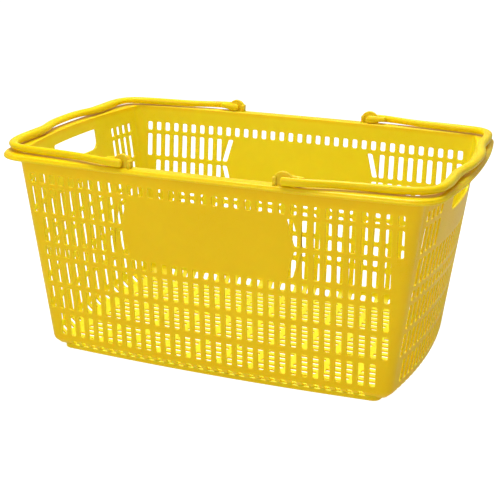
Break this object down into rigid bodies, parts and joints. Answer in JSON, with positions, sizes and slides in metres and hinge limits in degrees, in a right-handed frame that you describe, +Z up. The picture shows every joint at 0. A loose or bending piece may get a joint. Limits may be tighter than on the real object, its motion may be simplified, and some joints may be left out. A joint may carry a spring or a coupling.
{
  "type": "shopping basket",
  "caption": "Moulded plastic hand basket with slotted tapering walls, a channel rim, a hand hole in each end and two folding carrying handles.",
  "frame": {"origin": "on the floor, under the middle of the basket", "axes": "+X along the length towards the right-hand handle's grip, +Y across the depth towards the back wall, +Z up"},
  "size_m": [0.5274, 0.35, 0.2549],
  "materials": {
    "basket_plastic": "smooth moulded polypropylene, yellow",
    "handle_plastic": "smooth moulded polypropylene, yellow"
  },
  "bodies": {
    "basket": {"basket_body": "basket_plastic"},
    "left_carrier": {"left_handle": "handle_plastic"},
    "right_carrier": {"right_handle": "handle_plastic"}
  },
  "joints": [
    {"name": "left_handle_pivot", "type": "hinge", "parent": "basket", "child": "left_carrier", "pos_m": [-0.0925, 0, 0.24538], "axis": [0, 1, 0], "range_deg": [0, 120]},
    {"name": "right_handle_pivot", "type": "hinge", "parent": "basket", "child": "right_carrier", "pos_m": [0.0925, 0, 0.24538], "axis": [0, -1, 0], "range_deg": [0, 120]}
  ]
}
